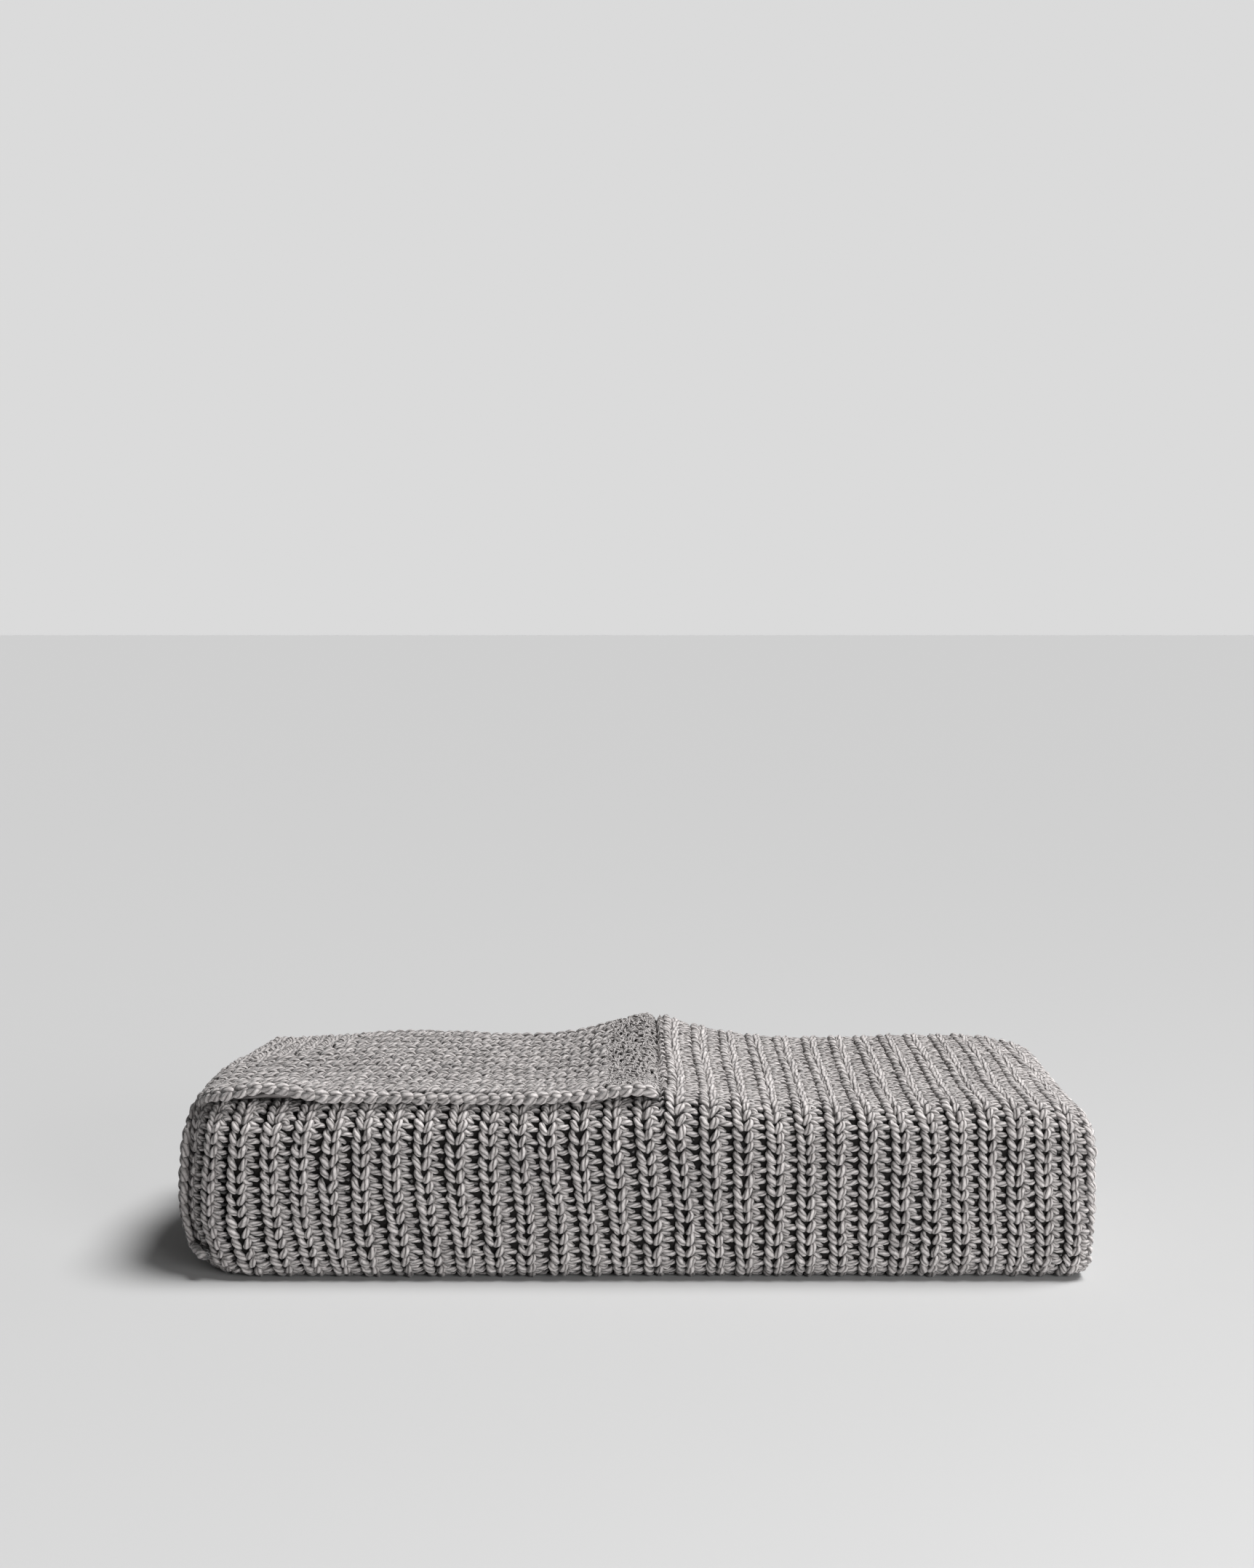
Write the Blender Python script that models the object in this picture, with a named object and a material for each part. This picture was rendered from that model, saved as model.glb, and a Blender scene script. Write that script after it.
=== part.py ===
"""A chunky rib-knit throw, folded into a low stack, with one corner turned over the top.

Metres, +Z up, the front faces -Y. The origin is under the middle of the stack, on the surface it lies on.
The throw is one solid: a two-layer bundle laid back and forth along a folding line, and the turned-up
corner, which leaves the bottom layer's left edge, climbs the left side and lies on top up to the middle.
"""

import math

import bmesh
import bpy
from mathutils import Vector

# Sizes of the knitted cloth and of the folded stack.
PLY = 0.0066  # thickness of the knit over its rib crests
GAP = 0.0008  # air between two layers
RIB_DEPTH = 0.0032  # from a rib's crest to the trough beside it
RIB_WIDE = 0.0211  # rib spacing at the middle of the stack
RIB_TIGHTER = 0.0030  # how much closer the ribs stand near the two ends
STACK_WIDTH = 0.600
STACK_DEPTH = 0.200
CORNER_SLACK = 0.0030  # how much wider the bundle turns than its own half thickness

# Sizes that follow from them.
PITCH = PLY + GAP
BUNDLE = 2 * PLY + GAP
BUNDLE_PITCH = BUNDLE + GAP
RUNS = 8
STACK_HEIGHT = RUNS * BUNDLE_PITCH - GAP
FOLD_OUT = (PITCH + PLY) / 2  # outside radius of the fold between two layers
FOLD_IN = GAP / 2
TURN = BUNDLE / 2 + CORNER_SLACK  # centreline radius at the corners of a wide turn
HALF_TURN = BUNDLE_PITCH / 2  # centreline radius where a bundle doubles back
RIGHT = STACK_WIDTH / 2
LEFT = RIGHT - STACK_WIDTH + PITCH  # the turned-up corner lies outside this
FRONT = -STACK_DEPTH / 2
BACK = STACK_DEPTH / 2

# Stations that every layer shares, so that neighbours bend alike.
ACROSS = (-0.2540, -0.1800, -0.0900, -0.0400, 0.0000, 0.0450, 0.1000, 0.1900, 0.2620)
ALONG = (-0.028, 0.018, 0.052)
LOOSE_END = 0.005  # how far the free ends stay short of the stack's back
SEAM = 0.004  # how far the plain inner layers run into the ribbed outer one
SLIM = 0.0001  # and how much thinner they are

# The turned-up corner.
FLAP_PLY = 0.0060
FLAP_START = LEFT + 0.0120
FLAP_LOW_TURN = 0.0100
FLAP_TOP_TURN = 0.0150
FLAP_END = 0.0145
FLAP_FRONT = FRONT + 0.0100
FLAP_BACK = BACK - 0.0030
FLAP_RIBS = 9
FLAP_STATIONS = (-0.250, -0.180, -0.090, -0.065, -0.040, -0.020, -0.004)

# How the soft stack settles: heights are shares of the stack's height.
LOW_LEFT = 0.052  # the left half is pressed lower by this share
END_DROP = 0.060  # and both ends by this share more
END_REACH = 0.045  # over this width
SIDE_TAPER = 0.020  # the sides lean in by this share at the top and the foot
HUMP = 0.0075  # rise of the top near the back, by the flap's corner
HUMP_X = 0.014
HUMP_WIDTH = 0.062
WAVE = 0.0010
LEFT_ROUND = 0.034  # plan radius of the front left corner
LEFT_ROUND_START = -0.2560
LEFT_ROUND_SLOPE = 1.9  # where the rounded corner stops turning

# Lifts of the flap: centre across, centre along, reach across, reach along, rise.
FLAP_LIFTS = (
    {"x": FLAP_END, "y": FLAP_BACK, "wide": 0.030, "deep": 0.045, "rise": 0.0050},
    {"x": -0.006, "y": FLAP_FRONT, "wide": 0.022, "deep": 0.018, "rise": 0.0036},
    {"x": -0.244, "y": FLAP_FRONT, "wide": 0.020, "deep": 0.024, "rise": 0.0034},
)

CLOTH_GREY = (0.330, 0.310, 0.300, 1.0)


def smooth(low, high, value):
    """0 below low, 1 above high, and an even S between them."""
    share = min(1.0, max(0.0, (value - low) / (high - low)))
    return share * share * (3 - 2 * share)


def corner_setback(x):
    """How far the front left corner is rounded back at this place across, and its slope there."""
    past = LEFT_ROUND_START - x
    if past <= 0:
        return 0.0, 0.0
    last = LEFT_ROUND * math.sin(math.atan(LEFT_ROUND_SLOPE))
    arc = min(past, last)
    drop = math.sqrt(LEFT_ROUND**2 - arc**2)
    back = LEFT_ROUND - drop + (past - arc) * LEFT_ROUND_SLOPE
    return back, arc / drop


def rib_troughs():
    """Places of the troughs between ribs, from right to left, evenly spaced over the rounded corner too."""
    places = []
    x = RIGHT - FOLD_OUT
    while x > LEFT + RIB_WIDE / 3:
        places.append(x)
        pitch = RIB_WIDE - RIB_TIGHTER * (x / 0.29) ** 2
        slope = corner_setback(x - pitch / 2)[1]
        x -= pitch / math.sqrt(1 + slope * slope)
    return places


def arc(centre_x, centre_n, radius, start, end, steps):
    """Points on an arc of the section, both ends included, angles in degrees."""
    points = []
    for step in range(steps + 1):
        angle = math.radians(start + (end - start) * step / steps)
        points.append((centre_x + radius * math.cos(angle), centre_n + radius * math.sin(angle)))
    return points


def level(places, n):
    return [(x, n) for x in places]


def bundle_section(outer_face, slim):
    """Closed outline of the two layers folded across, as (x, n) with n outwards from the bundle's middle."""
    fold = RIGHT - FOLD_OUT
    edge = LEFT + slim
    out, back = list(ACROSS), list(ACROSS[::-1])
    points = list(outer_face)
    points += arc(fold, 0, FOLD_OUT - slim, 90, -90, 6)
    points += level(back, -PITCH / 2 - PLY / 2 + slim)
    points.append((edge, -PITCH / 2 - PLY / 2 + slim))
    points.append((edge, -FOLD_IN - slim))
    points += level(out, -FOLD_IN - slim)
    points += arc(fold, 0, FOLD_IN + slim, -90, 90, 2)
    points += level(back, FOLD_IN + slim)
    points.append((edge, FOLD_IN + slim))
    return points


def ribbed_section():
    """The bundle with raised ribs on its outer face."""
    troughs = rib_troughs()[::-1]
    crest = PITCH / 2 + PLY / 2
    face = [(LEFT, crest - RIB_DEPTH)]
    for left, right in zip(troughs, troughs[1:]):
        face += [(left, crest - RIB_DEPTH), ((left + right) / 2, crest)]
    return bundle_section(face, 0.0)


def plain_section():
    """The bundle without ribs, for the layers inside the stack."""
    top = PITCH / 2 + PLY / 2 - SLIM
    return bundle_section([(LEFT + SLIM, top), *level(ACROSS, top)], SLIM)


def ring_of(bm, corners):
    """A closed loop of edges through these points."""
    verts = [bm.verts.new(corner) for corner in corners]
    return [bm.edges.new((a, b)) for a, b in zip(verts, verts[1:] + verts[:1])]


def lay(bm, ring, vector):
    """Carries the loop straight on by a vector and returns its new place."""
    made = bmesh.ops.extrude_edge_only(bm, edges=ring)["geom"]
    verts = [item for item in made if isinstance(item, bmesh.types.BMVert)]
    bmesh.ops.translate(bm, verts=verts, vec=vector)
    return [item for item in made if isinstance(item, bmesh.types.BMEdge)]


def turn(bm, ring, centre, axis, degrees, steps):
    """Carries the loop round an axis through centre and returns its new place."""
    verts = list({vert for edge in ring for vert in edge.verts})
    made = bmesh.ops.spin(
        bm,
        geom=verts + ring,
        cent=centre,
        axis=axis,
        angle=math.radians(degrees),
        steps=steps,
    )["geom_last"]
    return [item for item in made if isinstance(item, bmesh.types.BMEdge)]


def close(bm, ends):
    for ring in ends:
        bmesh.ops.triangle_fill(bm, edges=ring, use_beauty=True)
    bmesh.ops.recalc_face_normals(bm, faces=bm.faces)


def lay_along(bm, ring, start, stops):
    """Straight runs through the shared stations, to the last stop."""
    for stop in stops:
        ring = lay(bm, ring, (0, stop - start, 0))
        start = stop
    return ring


def place(run):
    """Height of the middle of a run of the bundle, counted up from the bottom one."""
    return BUNDLE / 2 + run * BUNDLE_PITCH


def square_turn(bm, ring, y, low, high, side, steps):
    """Round a wide turn: two rounded corners and a straight stretch; side is -1 in front, 1 at the back."""
    start, end, way = (low, high, 1) if high > low else (low, high, -1)
    spin = -90 * way * -side
    ring = turn(bm, ring, (0, y, start + way * TURN), (1, 0, 0), spin, steps)
    ring = lay(bm, ring, (0, 0, end - start - way * 2 * TURN))
    return turn(bm, ring, (0, y, end - way * TURN), (1, 0, 0), spin, steps)


def round_turn(bm, ring, y, low, high, side):
    """Doubles the bundle back on itself with a half turn."""
    way = 1 if high > low else -1
    return turn(bm, ring, (0, y, (low + high) / 2), (1, 0, 0), 180 * way * side, 5)


def wide_turn_place(layers_outside, side):
    """Where along a wide turn starts, with this many bundles wrapped outside it."""
    inset = BUNDLE / 2 + TURN + layers_outside * BUNDLE_PITCH
    return FRONT + inset if side < 0 else BACK - inset


def outer_wrap(bm):
    """The ribbed outer layer: along the bottom, up the front, back over the top and down the back."""
    front, back = wide_turn_place(0, -1), wide_turn_place(0, 1)
    start = BACK - LOOSE_END
    first = ring_of(bm, [(x, start, place(0) - n) for x, n in ribbed_section()])
    ring = lay_along(bm, first, start, [ALONG[2], ALONG[1], ALONG[0], front])
    ring = square_turn(bm, ring, front, place(0), place(7), -1, 4)
    ring = lay_along(bm, ring, front, [*ALONG, back])
    ring = square_turn(bm, ring, back, place(7), place(4), 1, 3)
    close(bm, (first, lay(bm, ring, (0, -SEAM, 0))))


def inner_runs(bm):
    """The plain layers inside, from the back turn's foot to the free end over the bottom layer."""
    back = wide_turn_place(0, 1)
    tight_back = BACK - BUNDLE / 2 - HALF_TURN
    near_back = tight_back - BUNDLE_PITCH
    tight_front = FRONT + 3 * BUNDLE_PITCH + BUNDLE / 2 + HALF_TURN
    second, third = wide_turn_place(1, -1), wide_turn_place(2, -1)
    out = [ALONG[2], ALONG[1], ALONG[0]]
    first = ring_of(bm, [(x, back, place(4) - n) for x, n in plain_section()])
    ring = lay_along(bm, first, back, [*out, tight_front])
    ring = round_turn(bm, ring, tight_front, place(4), place(3), -1)
    ring = lay_along(bm, ring, tight_front, [*ALONG, tight_back])
    ring = round_turn(bm, ring, tight_back, place(3), place(2), 1)
    ring = lay_along(bm, ring, tight_back, [*out, third])
    ring = square_turn(bm, ring, third, place(2), place(5), -1, 3)
    ring = lay_along(bm, ring, third, [*ALONG, near_back])
    ring = round_turn(bm, ring, near_back, place(5), place(6), 1)
    ring = lay_along(bm, ring, near_back, [*out, second])
    ring = square_turn(bm, ring, second, place(6), place(1), -1, 3)
    close(bm, (first, lay_along(bm, ring, second, [*ALONG, BACK - LOOSE_END])))


def flap_section():
    """Closed outline across the turned-up corner, as (y, n) with n outwards, ribs on its outer face."""
    half = FLAP_PLY / 2
    wide = (FLAP_BACK - FLAP_FRONT) / FLAP_RIBS
    points = []
    for rib in range(FLAP_RIBS):
        trough = FLAP_FRONT + rib * wide
        points += [(trough, half - RIB_DEPTH / 2), (trough + wide / 2, half)]
    points.append((FLAP_BACK, half - RIB_DEPTH / 2))
    points.append((FLAP_BACK, -half))
    inner = [ALONG[2], ALONG[1], ALONG[0], -0.055, -0.072, -0.081]
    points += [(y, -half) for y in inner]
    points.append((FLAP_FRONT, -half))
    return points


def turned_corner(bm):
    """The corner of the throw: out of the bottom layer, up the left side and along the top."""
    middle = PLY / 2
    side = LEFT - GAP - PLY / 2
    top = STACK_HEIGHT + GAP + PLY / 2
    low_turn = side + FLAP_LOW_TURN
    top_turn = side + FLAP_TOP_TURN
    first = ring_of(bm, [(FLAP_START, y, middle - n) for y, n in flap_section()])
    ring = lay(bm, first, (low_turn - FLAP_START, 0, 0))
    ring = turn(bm, ring, (low_turn, 0, middle + FLAP_LOW_TURN), (0, 1, 0), 90, 3)
    rise = (top - FLAP_TOP_TURN - middle - FLAP_LOW_TURN) / 2
    ring = lay(bm, ring, (0, 0, rise))
    ring = lay(bm, ring, (0, 0, rise))
    ring = turn(bm, ring, (top_turn, 0, top - FLAP_TOP_TURN), (0, 1, 0), 90, 4)
    last = top_turn
    for stop in (*FLAP_STATIONS, FLAP_END):
        ring = lay(bm, ring, (stop - last, 0, 0))
        last = stop
    close(bm, (first, ring))
    for vert in bm.verts:
        vert.co.z += flap_shape(vert.co)


def flap_shape(point):
    """Rise of the flap at a point: it follows the stack's rounded front edges and lifts at its corners."""
    on_top = smooth(STACK_HEIGHT - FLAP_TOP_TURN, STACK_HEIGHT, point.z)
    below = 1 - smooth(0.0, 2 * FLAP_LOW_TURN, point.z)
    outer = TURN + BUNDLE / 2
    inside = max(0.0, FRONT + outer - point.y)
    sink = outer - math.sqrt(outer * outer - inside * inside)
    rise = -sink
    for lift in FLAP_LIFTS:
        across = (point.x - lift["x"]) / lift["wide"]
        along = (point.y - lift["y"]) / lift["deep"]
        rise += lift["rise"] * math.exp(-across * across - along * along)
    return rise * on_top + sink * below


def settle(point):
    """Where a point of the squared-up stack comes to rest in the soft one."""
    x, y, z = point
    share = min(1.0, max(0.0, z / STACK_HEIGHT))
    end = max(0.0, (abs(x) - (RIGHT - END_REACH)) / END_REACH)
    press = 1 - LOW_LEFT * (1 - smooth(-0.070, 0.030, x)) - END_DROP * end * end
    across = (x - HUMP_X) / HUMP_WIDTH
    hump = HUMP * math.exp(-across * across) * smooth(FRONT / 2, BACK, y)
    wave = WAVE * (math.sin(31 * x + 0.8) + math.sin(19 * x - 23 * y))
    middle = 2 * share - 1
    lean = 1 - SIDE_TAPER * middle**4
    setback = corner_setback(x)[0] * (BACK - y) / STACK_DEPTH
    return Vector((x * lean, y + setback, z * press + share * (hump + wave)))


def press_flat(point):
    """The bottom layer's crests and troughs are pressed level by the stack's weight."""
    flat = point.z < RIB_DEPTH + GAP / 2 and point.y > FRONT + TURN + BUNDLE / 2 - GAP / 2
    return Vector((point.x, point.y, 0.0)) if flat else point.copy()


def new_object(name, bm, collection):
    mesh = bpy.data.meshes.new(name)
    bm.to_mesh(mesh)
    bm.free()
    made = bpy.data.objects.new(name, mesh)
    collection.objects.link(made)
    return made


def knit_material():
    material = bpy.data.materials.new("heather_grey_knit")
    material.use_nodes = True
    shader = material.node_tree.nodes["Principled BSDF"]
    shader.inputs["Base Color"].default_value = CLOTH_GREY
    shader.inputs["Roughness"].default_value = 0.9
    shader.inputs["Metallic"].default_value = 0.0
    return material


def joined(wrap, others):
    """The outer wrap with the inner layers and the turned-up corner, as one mesh."""
    for other in others:
        union = wrap.modifiers.new(other.name, "BOOLEAN")
        union.operation = "UNION"
        union.object = other
    graph = bpy.context.evaluated_depsgraph_get()
    mesh = bpy.data.meshes.new_from_object(wrap.evaluated_get(graph))
    wrap.modifiers.clear()
    return mesh


def main():
    for old in list(bpy.data.objects):
        bpy.data.objects.remove(old)
    parts = bpy.data.collections.new("throw_blanket")
    helpers = bpy.data.collections.new("helpers")
    for collection in (parts, helpers):
        bpy.context.scene.collection.children.link(collection)
    shapes = {}
    makers = {"throw_blanket": outer_wrap, "inner_layers": inner_runs, "turned_corner": turned_corner}
    for name, build in makers.items():
        shapes[name] = bmesh.new()
        build(shapes[name])
    throw = new_object("throw_blanket", shapes.pop("throw_blanket"), parts)
    others = [new_object(name, shape, helpers) for name, shape in shapes.items()]
    for other in others:
        other.hide_render = True
        other.display_type = "WIRE"
    throw.data = joined(throw, others)
    for vert in throw.data.vertices:
        vert.co = settle(press_flat(vert.co))
    low = Vector(min(vert.co[axis] for vert in throw.data.vertices) for axis in range(3))
    high = Vector(max(vert.co[axis] for vert in throw.data.vertices) for axis in range(3))
    middle = (low + high) / 2
    for vert in throw.data.vertices:
        vert.co -= Vector((middle.x, middle.y, low.z))
    throw.data.materials.clear()
    throw.data.materials.append(knit_material())


main()
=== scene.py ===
"""The folded rib-knit throw, dressed: yarn laid stitch by stitch over the folded cloth, in a plain studio.

Metres, +Z up, the front faces -Y. A stitch is given in shares of its rib and its row, and is carried onto
the folded cloth.
"""

import math
from typing import NamedTuple

import bmesh
import bpy
import numpy as np
from bpy.props import FloatProperty, FloatVectorProperty, IntProperty, PointerProperty
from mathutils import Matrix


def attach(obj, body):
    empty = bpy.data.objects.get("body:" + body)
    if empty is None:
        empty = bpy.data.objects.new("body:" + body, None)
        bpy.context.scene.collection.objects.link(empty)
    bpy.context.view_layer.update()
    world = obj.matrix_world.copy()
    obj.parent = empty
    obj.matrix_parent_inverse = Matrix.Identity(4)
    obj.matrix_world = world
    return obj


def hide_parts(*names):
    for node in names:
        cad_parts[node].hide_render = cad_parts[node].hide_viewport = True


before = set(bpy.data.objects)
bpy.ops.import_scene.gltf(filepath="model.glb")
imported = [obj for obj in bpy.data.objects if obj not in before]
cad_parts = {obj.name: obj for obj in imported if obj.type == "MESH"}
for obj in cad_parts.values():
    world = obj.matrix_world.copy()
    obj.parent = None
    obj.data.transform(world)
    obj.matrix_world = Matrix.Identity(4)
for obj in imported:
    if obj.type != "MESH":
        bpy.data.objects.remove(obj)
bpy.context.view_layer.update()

bl_info = {
    "name": "Folded rib-knit throw",
    "version": (1, 0, 0),
    "blender": (4, 5, 0),
    "location": "View3D > Sidebar > Throw",
    "description": "Knits, edges and lights a folded throw on its solid",
    "category": "Object",
}

NODE = "throw_blanket"

# The folded stack, as in the solid.
PLY = 0.0066  # thickness of the knit over its rib crests
GAP = 0.0008  # air between two layers
RIB_WIDE = 0.0211  # rib spacing at the middle of the stack
RIB_TIGHTER = 0.0030  # how much closer the ribs stand near the two ends
RIB_TIGHT_X = 0.29  # how far from the middle that is
STACK_DEPTH = 0.200
STACK_WIDTH = 0.600
CORNER_SLACK = 0.0030  # how much wider the bundle turns than its own half thickness
PITCH = PLY + GAP
BUNDLE = 2 * PLY + GAP
BUNDLE_PITCH = BUNDLE + GAP
STACK_HEIGHT = 8 * BUNDLE_PITCH - GAP
FOLD_OUT = (PITCH + PLY) / 2  # outside radius of the fold between two layers
TURN = BUNDLE / 2 + CORNER_SLACK  # middle radius of a wide turn
HALF_TURN = BUNDLE_PITCH / 2  # middle radius where the bundle doubles back
RIGHT = STACK_WIDTH / 2
LEFT = RIGHT - STACK_WIDTH + PITCH
FRONT = -STACK_DEPTH / 2
BACK = STACK_DEPTH / 2
FOLD = RIGHT - FOLD_OUT  # where the right fold begins
LOOSE_END = 0.005  # how far the free ends stay short of the stack's back
CENTRE_X = 0.00015  # brings the settled stack's middle to the origin

# The turned-up corner.
FLAP_PLY = 0.0060
FLAP_START = LEFT + 0.0120
FLAP_LOW_TURN = 0.0100
FLAP_TOP_TURN = 0.0150
FLAP_END = 0.0145
FLAP_FRONT = FRONT + 0.0100
FLAP_BACK = BACK - 0.0030
FLAP_WIDTH = FLAP_BACK - FLAP_FRONT - FLAP_PLY

# How the soft stack settles, as in the solid. Heights are shares of the stack's.
LOW_LEFT = 0.052  # the left half is pressed lower by this share
LOW_FROM = -0.070  # between these places
LOW_TO = 0.030
END_DROP = 0.060  # and both ends by this share more
END_REACH = 0.045  # over this width
SIDE_TAPER = 0.020  # the ends draw in towards the top and the foot
HUMP = 0.0075  # the top's rise under the corner's end
HUMP_X = 0.014
HUMP_WIDTH = 0.062
WAVE = 0.0010
LEFT_ROUND = 0.034  # radius in plan of the front left corner
LEFT_ROUND_START = -0.2560
LEFT_ROUND_SLOPE = 1.9
FLAP_LIFTS = (
    {"x": FLAP_END, "y": FLAP_BACK, "wide": 0.030, "deep": 0.045, "rise": 0.0030},
    {"x": -0.006, "y": FLAP_FRONT, "wide": 0.022, "deep": 0.018, "rise": 0.0036},
    {"x": -0.248, "y": FLAP_FRONT, "wide": 0.026, "deep": 0.026, "rise": 0.0080},
)

# How the knit's left end gives: it bulges outwards and its top runs askew.
LEFT_FROM = -0.225
LEFT_TO = -0.290
LEFT_BULGE = 0.0100
BULGE_Z = 0.050
BULGE_TALL = 0.045
LEFT_PUSH = 0.0060
LEFT_BELLY = 0.0050
BELLY_DEEP = 0.050
LEFT_SKEW = 0.0150
LEFT_SHOULDER = 0.0065
LEFT_FRONT_RISE = 0.0060
LEFT_FRONT_FROM = FRONT + 0.020  # the rise fades between these places
LEFT_FRONT_TO = 0.070
BACK_RISE = 0.0048

# How the top swells beside the corner, and how the corner's end droops onto it.
SWELL = 0.0050
SWELL_BACK = 0.0075
SWELL_REACH = 0.024
SWELL_FROM = FLAP_END - 0.001
SWELL_TO = FLAP_END + 0.002
END_DROOP = 0.0040
DROOP_REACH = 0.010

# How the corner lies askew: its side and its front edge come forward, and the edge curls up.
SIDE_FORWARD = 0.0230
SIDE_BEFORE = 0.020  # the side gives way to the top between these lengths before and past the turn's end
SIDE_PAST = 0.015
EDGE_FORWARD = 0.0040
EDGE_CURL = 0.0025
CURL_REACH = 0.030

# The ground cloth: long edges on top are divided, so that it bends with the knit.
WELD = 0.00002
LONG_EDGE = 0.03
LONG_EDGE_Z = 0.12
CUTS = 4
SOLE_Z = 0.0004  # lower points lie on the floor and stay there
PRESSED_Z = 0.002  # lower faces that look down are the pressed underside
PRESSED_SLOPE = -0.9
CORNER_OVER = 0.0015  # points this far over the stack belong to the corner
CORNER_PAST = 0.001
LIT_SLOPES = (0.3, 0.9)  # between these, and these shares of the stack's height, the ground is painted lighter where light reaches it
LIT_HEIGHTS = (0.5, 0.8)

# Columns of stitches: where the first one starts at the left, and where those on the right folds end.
FRONT_COLUMN = LEFT - 0.0035
BACK_COLUMN = LEFT - 0.0050
OUTER_COLUMN = FOLD + 0.0172
SIDE_COLUMNS = (FOLD - 0.002, FOLD + 0.0152, FOLD + 0.030)

# Rows of stitches: how far past the turns the top's and the back's begin, and which ones the corner hides.
TOP_PAST = 0.002
BACK_PAST = 0.004
HIDDEN_ACROSS = 0.030
HIDDEN_ALONG = 0.020
FIRST_ROW = 0.004  # where rows begin at a free end
SIDE_SHORT = 0.002  # how far the rows of the side folds end before the free edge
INNER_MORE = (0.7, 0.8)  # rows that the inner back fold has before and past its length

# How the front's ribs lean rightwards to the foot.
LEAN = 0.0030
LEAN_MORE = 0.0035  # most of all here
LEAN_X = -0.06
LEAN_WIDE = 0.13
LEAN_START = 0.05  # it grows over this width at the left end
LEAN_RIGHT = 0.22  # and loses this share past here
LEAN_LESS = 0.6

# How unevenly stitches lie, for an unevenness of 1: shares of the rib, of the row and of the yarn's
# thickness, then millimetres. The knit's drift is in metres.
UNEVEN_ACROSS = 0.012
UNEVEN_ALONG = 0.035
UNEVEN_THICK = 0.05
UNEVEN_DEEP = 0.20
DRIFT = 0.0014
CALM_DRIFT = 0.0008  # on top

# A slow drift of the knit, from sine waves. Columns: radians for each metre across, radians for each metre
# along, and the radians at which the wave starts.
WAVES = ((23, 31, 0.3), (-41, 17, 1.9), (13, -57, 4.1), (71, 43, 2.2))
WAVES_SEED = 1.7  # how much the seed moves them on
WAVES_PEAK = 2.4

# Where strands are darkened with painted shade: deep in the knit, in millimetres under the crests, and near
# the floor as painted contact shadow, in metres.
DEEP_FROM = 2.6
DEEP_TO = 5.8
FOOT_FROM = 0.0005
FOOT_TO = 0.0080
FACING_FROM = -0.25  # their skin is painted dark up to here and painted light from the next on, by the cosine of its tilt
FACING_TO = 0.75
COVERED_SHADE = 0.75  # the share of painted shadow under the turned-up corner's edge, between these heights and places
COVERED_FROM = 0.112
COVERED_TO = 0.128
COVERED_LEFT = FLAP_END - 0.014
COVERED_RIGHT = FLAP_END - 0.004
# The turned-up corner's yarn keeps this share of its colour, as painted shade.
CORNER_PAINTED_SHADE = 0.90
# How much painted shade a strand's depth and its skin's tilt put on it.
FRONT_SHADE = 0.8
TOP_SHADE = 0.12
CORNER_SHADE = 1.0
BAND_SHADE = 0.35

# The chain stitches on the free edges.
CHAIN_LONG = 0.0092
CHAIN_WIDE = 0.0074
CHAIN_OUT = 0.0030
CHAIN_YARN = 0.8

# The turned-up corner's chains, and those that run askew, from front to back, at its back left.
CORNER_CHAINS = 11
CORNER_INSET = 0.0050
CORNER_OUTSET = 0.003
CORNER_FIRST_ROW = 0.006
MITRE = 0.090  # how far across the corner they begin
MITRE_SOFT = 0.04
MITRE_REACH = 0.10
MITRE_OVERLAP = (0.006, 0.004)
ASKEW_WIDE = 0.0125
ASKEW_BACK = 0.0050
ASKEW_LONG = 0.15

# Its edge chain and its end band.
EDGE_COLUMN = (-0.0095, 0.0030)
EDGE_ROW = 1.06
EDGE_YARN = 1.15
EDGE_DEPTH = 0.80
BAND_LONG = 0.037
BAND_INSET = 0.001
BAND_FRONT = 0.003
BAND_BACK = 0.005
BAND_COLUMN = 0.0044
BAND_ROW = 0.0028
BAND_DEPTH = 0.62
BAND_TURN = 1.5
BAND_STRAY = (0.0020, 0.0013)

# The yarn's twist: how many plies, the length over which the pattern repeats along them, and how far it is
# moved along a strand at most, so that no two strands are alike.
PLIES = 4
LAY = 0.0056
TWIST_START = 0.05

# How a strand finds the way out of the cloth, and how low its middle may lie, as a share of its radius.
STEP_OUT = 0.0005
LOWEST = 0.9

# The studio. Places are in metres, turns in degrees.
FLOOR_HALF = 150
WALL_TOP = 0.33  # heights of view, as sines, between which the walls go over into the ceiling
CEILING_FROM = 0.50
BEHIND = 0.3  # the wall behind the camera fades in over this sine on either side
KEY_PLACE = (0, 0, 2)
KEY_TURN = (1, 28, 0)
FILL_SIZE = 0.9
FILL_PLACE = (1.05, -1.45, 0.44)
FILL_TURN = (77.5, 0, 37)
EYE_PLACE = (-0.0085, -1.25, 0.428)
EYE_DOWN = 4.90

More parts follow.
